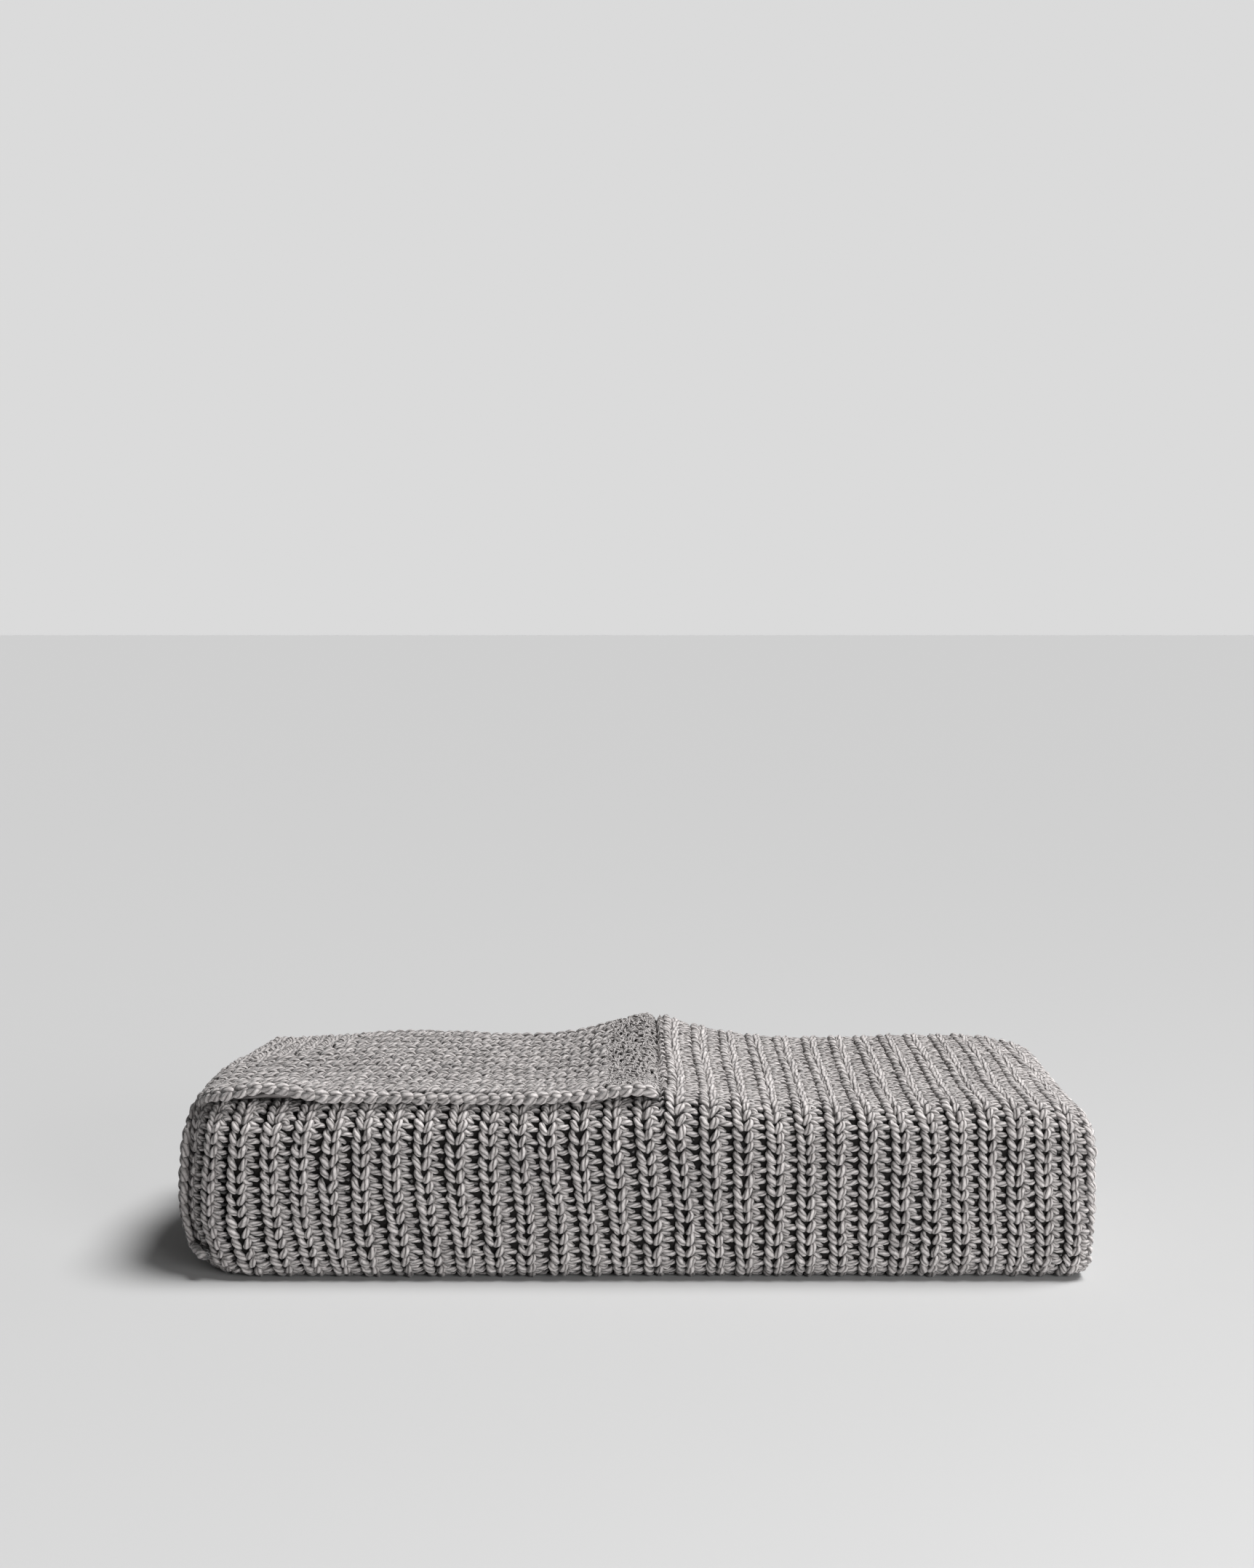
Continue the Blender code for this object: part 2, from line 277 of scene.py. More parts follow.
# Yarn courses through one stitch. Columns: across, as a share of the rib from its middle; along, as a share
# of the row; deep, in millimetres under the ribs' crests; thick, as a share of the yarn's radius.
LEFT_LEG = (
    (-0.195, 0.58, 5.8, 0.52),
    (-0.232, 0.42, 3.2, 0.88),
    (-0.205, 0.17, 1.9, 1.10),
    (-0.142, -0.12, 1.8, 1.10),
    (-0.085, -0.39, 2.9, 0.88),
    (-0.050, -0.57, 5.8, 0.52),
)
RIGHT_LEG = (
    (0.205, 0.54, 6.2, 0.50),
    (0.225, 0.38, 3.2, 0.88),
    (0.185, 0.12, 1.6, 1.10),
    (0.115, -0.17, 1.6, 1.10),
    (0.058, -0.41, 3.0, 0.88),
    (0.022, -0.55, 6.2, 0.50),
)
LOW_STRAND = (
    (0.215, 0.70, 6.0, 0.50),
    (0.255, 0.63, 3.3, 0.76),
    (0.310, 0.54, 2.3, 0.88),
    (0.375, 0.41, 2.4, 0.86),
    (0.440, 0.29, 3.4, 0.70),
    (0.485, 0.19, 5.6, 0.46),
)
BAR = (
    (0.215, 0.10, 5.0, 0.56),
    (0.300, 0.00, 3.2, 0.80),
    (0.400, -0.06, 2.4, 0.88),
    (0.505, -0.09, 2.3, 0.88),
    (0.600, -0.12, 3.0, 0.78),
    (0.665, -0.17, 5.4, 0.48),
)
DEEP_BAR = (
    (0.400, 0.46, 7.0, 0.56),
    (0.510, 0.42, 5.6, 0.68),
    (0.620, 0.40, 5.5, 0.68),
    (0.720, 0.36, 7.0, 0.50),
)


def relaxed(table, shift, least=1.1, flatter=0.55, fuller=1.06):
    """The same course where the knit lies relaxed on top: flatter, fuller and moved across by that share."""
    return tuple(
        (across + shift, along, least + flatter * deep, fuller * thick)
        for across, along, deep, thick in table
    )


# Stitches: courses, each with the number of stations along its tube.
FULL_RIB = ((LEFT_LEG, 9), (RIGHT_LEG, 9), (LOW_STRAND, 7), (BAR, 7), (DEEP_BAR, 4))
EASY_RIB = ((LEFT_LEG, 7), (RIGHT_LEG, 7), (LOW_STRAND, 5), (BAR, 6))
TOP_RIB = (
    (relaxed(LEFT_LEG, 0.015), 8),
    (relaxed(RIGHT_LEG, -0.020), 8),
    (relaxed(LOW_STRAND, 0.010), 7),
    (relaxed(BAR, 0.035), 8),
)
# The corner's chains, whose two strands meet in a point towards its end.
CORNER_LEFT = (
    (-0.330, 0.68, 5.8, 0.56),
    (-0.355, 0.48, 3.3, 0.98),
    (-0.300, 0.14, 2.0, 1.14),
    (-0.190, -0.20, 2.1, 1.12),
    (-0.105, -0.50, 3.5, 0.90),
    (-0.060, -0.68, 5.8, 0.54),
)
CORNER_RIGHT = tuple((-across, along - 0.06, deep, thick) for across, along, deep, thick in CORNER_LEFT)
CORNER_RIB = ((CORNER_LEFT, 9), (CORNER_RIGHT, 9))
CORNER_EDGE = ((CORNER_LEFT, 12), (CORNER_RIGHT, 12))
# A short bent strand of the fine end band.
FINE_STRAND = (
    (-0.62, -0.22, 4.2, 0.70),
    (-0.34, 0.10, 2.0, 1.00),
    (0.00, 0.20, 1.2, 1.08),
    (0.34, 0.08, 1.8, 1.00),
    (0.62, -0.26, 4.2, 0.70),
)
# A plain chain stitch for the free edges: two legs that meet in a point.
CHAIN_LEFT = (
    (-0.44, 0.80, 4.6, 0.75),
    (-0.40, 0.50, 2.9, 0.98),
    (-0.29, 0.12, 1.9, 1.06),
    (-0.16, -0.28, 2.1, 1.04),
    (-0.05, -0.62, 3.2, 0.90),
    (0.02, -0.86, 4.9, 0.70),
)
CHAIN_RIGHT = tuple((-across, along, deep, thick) for across, along, deep, thick in CHAIN_LEFT)
CHAIN_STATIONS = 7


class Sizes(bpy.types.PropertyGroup):
    """Sizes of the yarn and of its stitches."""

    yarn: FloatProperty(
        name="Yarn", description="Radius of the yarn",
        default=0.0022, min=0.0005, max=0.006, unit="LENGTH",
    )
    row: FloatProperty(
        name="Row", description="Height of a row of stitches",
        default=0.0077, min=0.003, max=0.02, unit="LENGTH",
    )
    band_yarn: FloatProperty(
        name="Band yarn", description="Radius of the end band's yarn",
        default=0.00105, min=0.0003, max=0.003, unit="LENGTH",
    )
    ground: FloatProperty(
        name="Ground", description="How far the ground cloth lies under the crests",
        default=0.0026, min=0.0, max=0.003, unit="LENGTH",
    )
    loose: FloatProperty(
        name="Unevenness", description="How unevenly the stitches lie",
        default=1.25, min=0.0, max=3.0, subtype="FACTOR",
    )
    seed: IntProperty(name="Seed", description="Which unevenness is used", default=7, min=0)


class Colours(bpy.types.PropertyGroup):
    """Colours of the heather yarn."""

    light: FloatVectorProperty(
        name="Light fibres", description="The yarn's lighter fibres", default=(0.810, 0.764, 0.748),
        subtype="COLOR", size=3, min=0, max=1,
    )
    dark: FloatVectorProperty(
        name="Dark fibres", description="The yarn's darker fibres", default=(0.350, 0.326, 0.320),
        subtype="COLOR", size=3, min=0, max=1,
    )
    # Near black: painted shade in the gaps between the stitches.
    ground: FloatVectorProperty(
        name="Ground", description="The cloth between the stitches", default=(0.018, 0.0165, 0.016),
        subtype="COLOR", size=3, min=0, max=1,
    )


class Studio(bpy.types.PropertyGroup):
    """Floor, light and camera."""

    pale: FloatProperty(name="Floor", description="How pale the floor is", default=0.553, min=0, max=1)
    horizon: FloatProperty(
        name="Horizon", description="Light of the room's low walls", default=0.708, min=0, max=5,
    )
    fill: FloatProperty(
        name="Fill", description="Power of the soft light at the right", default=17.5, min=0, max=99,
    )
    near: FloatProperty(
        name="Near wall", description="How bright the wall behind the camera is beside the others",
        default=0.12, min=0, max=1, subtype="FACTOR",
    )
    ceiling: FloatProperty(
        name="Ceiling", description="Light of the room's ceiling", default=0.05, min=0, max=5,
    )
    sun: FloatProperty(name="Key light", description="Light from above", default=3.70, min=0, max=20)
    soft: FloatProperty(
        name="Softness", description="Width of the key light",
        default=math.radians(26), subtype="ANGLE", unit="ROTATION",
    )
    lens: FloatProperty(name="Lens", description="Focal length", default=41.24, unit="CAMERA")


def smooth(low, high, value):
    """0 below low, 1 above high, and an even S between them."""
    share = np.clip((value - low) / (high - low), 0, 1)
    return share * share * (3 - 2 * share)


def settle(points):
    """Where points of the squared-up stack come to rest in the soft one."""
    x, y, z = points[..., 0], points[..., 1], points[..., 2]
    share = np.clip(z / STACK_HEIGHT, 0, 1)
    end = np.maximum(0, (np.abs(x) - (RIGHT - END_REACH)) / END_REACH)
    press = 1 - LOW_LEFT * (1 - smooth(LOW_FROM, LOW_TO, x)) - END_DROP * end * end
    hump = HUMP * np.exp(-(((x - HUMP_X) / HUMP_WIDTH) ** 2)) * smooth(FRONT / 2, BACK, y)
    wave = WAVE * (np.sin(31 * x + 0.8) + np.sin(19 * x - 23 * y))
    lean = 1 - SIDE_TAPER * (2 * share - 1) ** 4
    past = np.maximum(0, LEFT_ROUND_START - x)
    bend = np.minimum(past, LEFT_ROUND * math.sin(math.atan(LEFT_ROUND_SLOPE)))
    setback = LEFT_ROUND - np.sqrt(LEFT_ROUND**2 - bend**2) + (past - bend) * LEFT_ROUND_SLOPE
    settled_y = y + setback * (BACK - y) / STACK_DEPTH
    return np.stack((x * lean - CENTRE_X, settled_y, z * press + share * (hump + wave)), axis=-1)


def plump(points, over=0.0):
    """Where the soft knit of the ends and of the top comes to lie; over is 1 on the turned-up corner."""
    x, y, z = points[..., 0], points[..., 1], points[..., 2]
    left = smooth(LEFT_FROM, LEFT_TO, x)
    high = smooth(0.5 * STACK_HEIGHT, STACK_HEIGHT, z)
    bulge = LEFT_BULGE * np.exp(-(((z - BULGE_Z) / BULGE_TALL) ** 2)) * (1 - smooth(0.0, BACK, y))
    push = LEFT_PUSH + LEFT_BELLY * np.exp(-((y / BELLY_DEEP) ** 2)) - LEFT_SKEW * smooth(0, BACK, y)
    past = np.maximum(0, x - FLAP_END)
    beside = smooth(SWELL_FROM, SWELL_TO, x) * np.exp(-past / SWELL_REACH) * (1 - over)
    droop = END_DROOP * smooth(FLAP_END - DROOP_REACH, FLAP_END, x) * over
    swell = beside * (SWELL + SWELL_BACK * smooth(FRONT / 2, BACK, y))
    left_half = 1 - smooth(LOW_FROM, LOW_TO, x)
    front = LEFT_FRONT_RISE * left_half * (1 - smooth(LEFT_FRONT_FROM, LEFT_FRONT_TO, y))
    back = BACK_RISE * smooth(FRONT / 2, 0.6 * BACK, y)
    shoulder = LEFT_SHOULDER * smooth(-(RIGHT - END_REACH), -RIGHT, x) * smooth(0, BACK, y)
    rise = (swell - droop + front + back + shoulder) * high
    return np.stack((x - left * (bulge + push * high), y, z + rise), axis=-1)


def corner_slope(x):
    """Slope in plan of the rounded front left corner."""
    past = max(0.0, LEFT_ROUND_START - x)
    bend = min(past, LEFT_ROUND * math.sin(math.atan(LEFT_ROUND_SLOPE)))
    return bend / math.sqrt(LEFT_ROUND**2 - bend**2)


def place(run):
    """Height of the middle of a run of the bundle, counted up from the bottom one."""
    return BUNDLE / 2 + run * BUNDLE_PITCH


class Part(NamedTuple):
    """A straight run or a turn of a route. A run's origin is its start, a turn's is its centre."""

    start: float
    length: float
    angle: float
    origin: np.ndarray
    heading: float
    radius: float


class Route:
    """The line along which a layer lies, from straight runs and turns.

    Its lengths are those of the line that lies half a thickness outside its middle.
    """

    def __init__(self, start, half):
        self.point, self.heading, self.half = np.array(start, float), math.pi, half
        self.parts, self.length = [], 0.0

    def _normal(self):
        """The direction square to the heading."""
        return np.array([-math.sin(self.heading), math.cos(self.heading)])

    def run(self, length):
        """Goes straight on."""
        way = np.array([math.cos(self.heading), math.sin(self.heading)])
        self.parts.append(Part(self.length, length, 0.0, self.point.copy(), self.heading, 0.0))
        self.point = self.point + way * length
        self.length += length
        return self

    def turn(self, radius, degrees):
        """Turns, to the right if the degrees are below zero."""
        angle = math.radians(degrees)
        side = -1 if degrees < 0 else 1
        centre = self.point + self._normal() * radius * side
        length = abs(angle) * (radius - side * self.half)
        self.parts.append(Part(self.length, length, angle, centre, self.heading, -radius * side))
        self.heading += angle
        self.point = centre - self._normal() * radius * side
        self.length += length
        return self

    def at(self, along, out):
        """Places in the route's plane: along it, and out from its middle line."""
        along, out = np.broadcast_arrays(along, out)
        first, second = np.zeros(along.shape), np.zeros(along.shape)
        starts = np.array([part.start for part in self.parts])
        which = np.clip(np.searchsorted(starts, along, side="right") - 1, 0, len(starts) - 1)
        for index, part in enumerate(self.parts):
            here = which == index
            past = along[here] - part.start
            turned = part.heading + (part.angle * past / part.length if part.angle else 0 * past)
            ahead = 0 * past if part.angle else past
            reach = out[here] + part.radius
            first[here] = part.origin[0] + np.cos(turned) * ahead - np.sin(turned) * reach
            second[here] = part.origin[1] + np.sin(turned) * ahead + np.cos(turned) * reach
        return first, second


def stack_route(half):
    """The folding line of the two-layer bundle, from the free end under the stack to the one inside it."""
    wide = BUNDLE / 2 + TURN
    tight = BUNDLE / 2 + HALF_TURN
    front, back = FRONT + wide, BACK - wide
    tight_front, tight_back = FRONT + 3 * BUNDLE_PITCH + tight, BACK - tight
    near_back = tight_back - BUNDLE_PITCH
    second, third = front + BUNDLE_PITCH, front + 2 * BUNDLE_PITCH
    lift = 3 * BUNDLE_PITCH - 2 * TURN
    route = Route((BACK - LOOSE_END, place(0)), half)
    route.run(BACK - LOOSE_END - front).turn(TURN, -90).run(7 * BUNDLE_PITCH - 2 * TURN).turn(TURN, -90)
    route.run(back - front).turn(TURN, -90).run(lift).turn(TURN, -90)
    route.run(back - tight_front).turn(HALF_TURN, 180).run(tight_back - tight_front).turn(HALF_TURN, -180)
    route.run(tight_back - third).turn(TURN, -90).run(lift).turn(TURN, -90)
    route.run(near_back - third).turn(HALF_TURN, 180).run(near_back - second)
    route.turn(TURN, 90).run(5 * BUNDLE_PITCH - 2 * TURN).turn(TURN, 90)
    return route.run(BACK - LOOSE_END - second)


def flap_route():
    """The line of the turned-up corner: out of the bottom layer, up the left side and along the top."""
    side = LEFT - GAP - PLY / 2
    top = STACK_HEIGHT + GAP + PLY / 2
    route = Route((FLAP_START, PLY / 2), FLAP_PLY / 2)
    route.run(FLAP_START - side - FLAP_LOW_TURN).turn(FLAP_LOW_TURN, -90)
    route.run(top - FLAP_TOP_TURN - PLY / 2 - FLAP_LOW_TURN).turn(FLAP_TOP_TURN, -90)
    return route.run(FLAP_END - side - FLAP_TOP_TURN)


STACK = stack_route(BUNDLE / 2)
MIDDLE = stack_route(0.0)
FLAP = flap_route()
FRONT_FOOT, _, FRONT_TURN, TOP_RUN, BACK_TURN, _, BACK_FOOT = STACK.parts[1:8]
INNER_BACK = STACK.parts[11]
SIDE_END = FLAP.parts[3].start


def on_stack(across, along, out, route=STACK):
    """Carries places on the flat bundle onto the folded stack; out counts from the ribs' crests."""
    angle = np.clip((across - FOLD) / FOLD_OUT, 0, math.pi * 1.05)
    x = np.where(across < FOLD, across, FOLD + (FOLD_OUT + out) * np.sin(angle))
    y, z = route.at(along, (FOLD_OUT + out) * np.cos(angle))
    return plump(settle(np.stack(np.broadcast_arrays(x, y, z), axis=-1)))


def on_side(across, along, out):
    """The same with lengths along the bundle's middle line, for the folds at the right end."""
    return on_stack(across, along, out, MIDDLE)


def on_flap(across, along, out):
    """Carries places on the flat corner onto the folded one; across counts from its front edge."""
    half = FLAP_PLY / 2
    over = np.where(across < 0, across, np.maximum(across - FLAP_WIDTH, 0))
    side = 1 - smooth(SIDE_END - SIDE_BEFORE, SIDE_END + SIDE_PAST, along)
    near = 1 - smooth(0, FLAP_WIDTH, across)
    forward = (SIDE_FORWARD * side + EDGE_FORWARD * (1 - side)) * near
    curl = EDGE_CURL * (1 - side) * (1 - smooth(0, CURL_REACH, across))
    angle = np.clip(over / half, -math.pi, math.pi)
    y = FLAP_FRONT + half + np.clip(across, 0, FLAP_WIDTH) + (half + out) * np.sin(angle) - forward
    x, z = FLAP.at(along, (half + out) * np.cos(angle))
    on_top = smooth(STACK_HEIGHT - FLAP_TOP_TURN, STACK_HEIGHT, z)
    below = 1 - smooth(0.0, 2 * FLAP_LOW_TURN, z)
    outer = TURN + BUNDLE / 2
    inside = np.clip(FRONT + outer - y, 0, outer * 0.999)
    sink = outer - np.sqrt(outer * outer - inside * inside)
    rise = -sink
    for lift in FLAP_LIFTS:
        rise = rise + lift["rise"] * np.exp(
            -(((x - lift["x"]) / lift["wide"]) ** 2) - ((y - lift["y"]) / lift["deep"]) ** 2
        )
    raised_and_painted_light = z + (rise + curl) * on_top + sink * below
    return plump(settle(np.stack(np.broadcast_arrays(x, y, raised_and_painted_light), axis=-1)), 1.0)


def across_flap(across, along, out):
    """The same for a knit whose ribs run from front to back."""
    return on_flap(along, across, out)


def rib_edges():
    """Places of the troughs between ribs, from left to right."""
    places = []
    x = FOLD
    while x > LEFT + RIB_WIDE / 3:
        places.append(x)
        pitch = RIB_WIDE - RIB_TIGHTER * (x / RIB_TIGHT_X) ** 2
        x -= pitch / math.sqrt(1 + corner_slope(x - pitch / 2) ** 2)
    return np.array(places[::-1])


def wander(across, along, seed):
    """A slow, even drift, between about -1 and 1."""
    drift = 0
    for step, (turns_across, turns_along, start) in enumerate(WAVES, 1):
        angle = turns_across * across + turns_along * along + start + WAVES_SEED * seed * step
        drift = drift + np.sin(angle)
    return drift / WAVES_PEAK


def spread(knots, stations):
    """Weights that lead a soft line through that many knots, one row for each station."""
    rows = np.zeros((stations, knots))
    for row, place_along in zip(rows, np.linspace(0, knots - 1, stations)):
        low = min(int(place_along), knots - 2)
        t = place_along - low
        weights = (
            (-0.5 * t**3 + t**2 - 0.5 * t),
            (1.5 * t**3 - 2.5 * t**2 + 1),
            (-1.5 * t**3 + 2 * t**2 + 0.5 * t),
            (0.5 * t**3 - 0.5 * t**2),
        )
        for step, weight in enumerate(weights):
            row[min(max(low - 1 + step, 0), knots - 1)] += weight
    return rows


def painted_foot_shade(places):
    """How much colour the yarn keeps under painted contact shadow: the foot near the floor is painted dark.
    """
    return smooth(FOOT_FROM, FOOT_TO, places[..., 2])


def painted_shadow_under_corner(places):
    """The same, with a painted shadow under the turned-up corner's edge."""
    x, z = places[..., 0], places[..., 2]
    under = smooth(COVERED_FROM, COVERED_TO, z) * (1 - smooth(COVERED_LEFT, COVERED_RIGHT, x))
    return painted_foot_shade(places) * (1 - COVERED_SHADE * under)


def painted_corner_shade(places):
    """The same on the turned-up corner, whose close-lying yarn is painted a little darker as shade."""
    return CORNER_PAINTED_SHADE * painted_foot_shade(places)


def courses(table, stations, cells, carry, sizes, rng, flip=1):
    """The yarn of one part of a stitch over many cells: its places, thickness and painted shade, cell by
    cell.

    Cells may also hold drift, how far the knit wanders, lean, a sideways slant, turn, an angle in the cloth,
    scale, a share of the depths, shade, how much painted shade a strand's depth and flanks get, and dim, its
    painted shadow by place.
    """
    knots = np.array(table)
    count = len(cells["across"])
    shake = rng.normal(size=(count, len(knots), 3)) * sizes.loose
    bulk = 1 + UNEVEN_THICK * sizes.loose * rng.normal(size=(count, 1))
    stray = rng.normal(size=(count, 1))
    across = knots[:, 0] + shake[..., 0] * UNEVEN_ACROSS + stray * UNEVEN_ACROSS * sizes.loose
    stray = rng.normal(size=(count, 1))
    along = knots[:, 1] + shake[..., 1] * UNEVEN_ALONG + stray * UNEVEN_ALONG * sizes.loose
    deep = knots[:, 2] + shake[..., 2] * UNEVEN_DEEP
    weights = spread(len(knots), stations)
    across, along, deep = (np.einsum("mk,nk->nm", weights, item) for item in (across, along, deep))
    thick = (weights @ knots[:, 3])[None, :] * bulk
    across, along = across * cells["wide"][:, None], along * cells["tall"][:, None]
    if "turn" in cells:
        turn = cells["turn"][:, None]
        across, along = (
            across * np.cos(turn) - along * np.sin(turn),
            across * np.sin(turn) + along * np.cos(turn),
        )
    u = cells["across"][:, None] + across
    v = cells["along"][:, None] + flip * along
    drift = sizes.loose * cells.get("drift", DRIFT)
    u = u + drift * wander(u, v, 1) + cells.get("lean", lambda a, b: 0)(u, v)
    v = v + drift * wander(u, v, 2)
    out = -deep * cells.get("scale", 1.0) / 1000
    places = carry(u, v, out)
    up = carry(u, v, out + STEP_OUT) - places
    places[..., 2] = np.maximum(places[..., 2], LOWEST * sizes.yarn)
    shade = cells.get("shade", FRONT_SHADE)
    # Painted shade deep in the knit, scaled by the cells' shade.
    raised_and_painted_light = 1 - min(1.0, 1.25 * shade) * smooth(DEEP_FROM, DEEP_TO, deep)
    return {
        "places": places,
        "thick": thick,
        # Painted shadow by place: near the floor, or as the cells' dim gives it.
        "raised_and_painted_light": raised_and_painted_light * cells.get("dim", painted_foot_shade)(places),
        "up": up / np.linalg.norm(up, axis=-1, keepdims=True),
        "shade": np.full(deep.shape, shade),
    }


def swept(name, bundles, radius, sides):
    """One mesh of open tubes along these courses."""
    curve = bpy.data.curves.new(name, "CURVE")
    curve.dimensions = "3D"
    curve.bevel_depth = radius
    curve.bevel_resolution = (sides - 4) // 2
    for bundle in bundles:
        for line, wide in zip(bundle["places"], bundle["thick"]):
            spline = curve.splines.new("POLY")
            spline.points.add(len(line) - 1)
            spline.points.foreach_set("co", np.hstack([line, np.ones((len(line), 1))]).ravel())
            spline.points.foreach_set("radius", wide)
    holder = bpy.data.objects.new(name, curve)
    bpy.context.scene.collection.objects.link(holder)
    graph = bpy.context.evaluated_depsgraph_get()
    mesh = bpy.data.meshes.new_from_object(holder.evaluated_get(graph))
    bpy.data.objects.remove(holder)
    bpy.data.curves.remove(curve)
    return mesh


def measure(mesh, along):
    """Turns the tubes' UVs into the share around and the metres along."""
    corner = np.zeros(len(mesh.loops), np.int32)
    mesh.loops.foreach_get("vertex_index", corner)
    layer = mesh.uv_layers[0]
    flat = np.zeros(len(mesh.loops) * 2, np.float32)
    layer.data.foreach_get("uv", flat)
    flat = np.stack((flat.reshape(-1, 2)[:, 1], along[corner]), axis=1)
    layer.data.foreach_set("uv", flat.ravel())


def painted_light_on(mesh, bundles, around):
    """Painted light of each point of the tubes: painted shade where the yarn lies deep or its skin turns
    away.
    """
    points = np.zeros(len(mesh.vertices) * 3, np.float32)
    mesh.vertices.foreach_get("co", points)
    middles, ups, raised_and_painted_light, shade = (
        np.repeat(np.concatenate([item[key].reshape(-1, size) for item in bundles]), around, axis=0)
        for key, size in (("places", 3), ("up", 3), ("raised_and_painted_light", 1), ("shade", 1))
    )
    offsets = points.reshape(-1, 3) - middles
    facing = (offsets * ups).sum(axis=1) / np.maximum(np.linalg.norm(offsets, axis=1), 1e-9)
    return raised_and_painted_light[:, 0] * (1 - shade[:, 0] * (1 - smooth(FACING_FROM, FACING_TO, facing)))


def close(mesh):
    """Closes the tubes' ends and smooths their faces."""
    shape = bmesh.new()
    shape.from_mesh(mesh)
    bmesh.ops.holes_fill(shape, edges=[edge for edge in shape.edges if edge.is_boundary], sides=0)
    for face in shape.faces:
        face.smooth = True
    shape.to_mesh(mesh)
    shape.free()


def tubes(name, bundles, radius, sides):
    """One mesh of closed yarns along these courses: each strand has a tint, each point its painted light."""
    lengths, tints = [], []
    rng = np.random.default_rng(len(name))
    for bundle in bundles:
        places = bundle["places"]
        steps = np.linalg.norm(np.diff(places, axis=1), axis=2)
        reach = np.concatenate([np.zeros((len(places), 1)), np.cumsum(steps, axis=1)], axis=1)
        lengths.append((reach + rng.uniform(0, TWIST_START, size=(len(places), 1))).ravel())
        tints.append(np.repeat(rng.normal(size=len(places)), places.shape[1]))
    mesh = swept(name, bundles, radius, sides)
    around = len(mesh.vertices) // sum(len(item) for item in lengths)
    measure(mesh, np.repeat(np.concatenate(lengths), around))
    tint = np.repeat(np.concatenate(tints), around)
    for key, values in (("tint", tint), ("raised_and_painted_light", painted_light_on(mesh, bundles, around))):
        layer = mesh.attributes.new(key, "FLOAT", "POINT")
        layer.data.foreach_set("value", values.astype(np.float32))
    close(mesh)
    mesh.name = name
    return mesh


def put(name, mesh, *materials):
    """Adds the mesh as a piece that rides on the throw."""
    mesh.materials.clear()
    for material in materials:
        mesh.materials.append(material)
    piece = bpy.data.objects.new(name, mesh)
    bpy.context.scene.collection.objects.link(piece)
    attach(piece, "root")
    return piece


class Value:
    """A shader socket on which arithmetic adds Math nodes."""

    def __init__(self, shader, socket):
        self.shader, self.socket = shader, socket

    def _math(self, operation, *values):
        return self.shader.node("ShaderNodeMath", {"operation": operation}, dict(enumerate(values)))

    def __add__(self, other):
        return self._math("ADD", self, other)

    def __sub__(self, other):
        return self._math("SUBTRACT", self, other)

    def __rsub__(self, other):
        return self._math("SUBTRACT", other, self)

    def __mul__(self, other):
        return self._math("MULTIPLY", self, other)

    def __truediv__(self, other):
        return self._math("DIVIDE", self, other)

    def __pow__(self, other):
        return self._math("POWER", self, other)

    def sine(self):
        return self._math("SINE", self)

    def size(self):
        return self._math("ABSOLUTE", self)

    def fraction(self):
        return self._math("FRACT", self)


class Nodes:
    """A node tree to which nodes are added."""

    def __init__(self, tree):
        self.tree = tree

    def node(self, kind, settings, inputs, output=0):
        """Adds a node, sets it up, joins or sets its sockets, and returns one of its outputs."""
        made = self.tree.nodes.new(kind)
        for key, value in settings.items():
            setattr(made, key, value)
        for key, value in inputs.items():
            self.join(value, made.inputs[key])
        return Value(self, made.outputs[output])

    def join(self, value, socket):
        """Links the socket to the value, or sets it."""
        if isinstance(value, Value):
            self.tree.links.new(value.socket, socket)
        else:
            socket.default_value = value

    def mix(self, share, first, second, blend="MIX"):
        """Two colours mixed by that share."""
        settings = {"data_type": "RGBA", "blend_type": blend}
        return self.node("ShaderNodeMix", settings, {0: share, 6: first, 7: second}, 2)

    def noise(self, where, scale, detail=2.0, rough=0.5):
        """Soft noise over those places."""
        inputs = {"Vector": where, "Scale": scale, "Detail": detail, "Roughness": rough}
        return self.node("ShaderNodeTexNoise", {}, inputs)

    def attribute(self, name):
        """A number that the mesh holds for each of its points."""
        return self.node("ShaderNodeAttribute", {"attribute_name": name}, {}, 2)

    def places(self):
        """Places in the object's own coordinates."""
        return self.node("ShaderNodeTexCoord", {}, {}, 3)


class Shader(Nodes):
    """A material's node tree with its Principled shader."""

    def __init__(self, name):
        self.material = bpy.data.materials.new(name)
        self.material.use_nodes = True
        super().__init__(self.material.node_tree)
        self.main = self.tree.nodes["Principled BSDF"]

    def feed(self, **values):
        """Joins or sets sockets of the Principled shader; their names have _ for spaces."""
        for key, value in values.items():
            self.join(value, self.main.inputs[key.replace("_", " ")])


def tone(colour, level=1.0):
    """The colour at that share of its brightness, with alpha."""
    return (*[channel * level for channel in colour], 1.0)


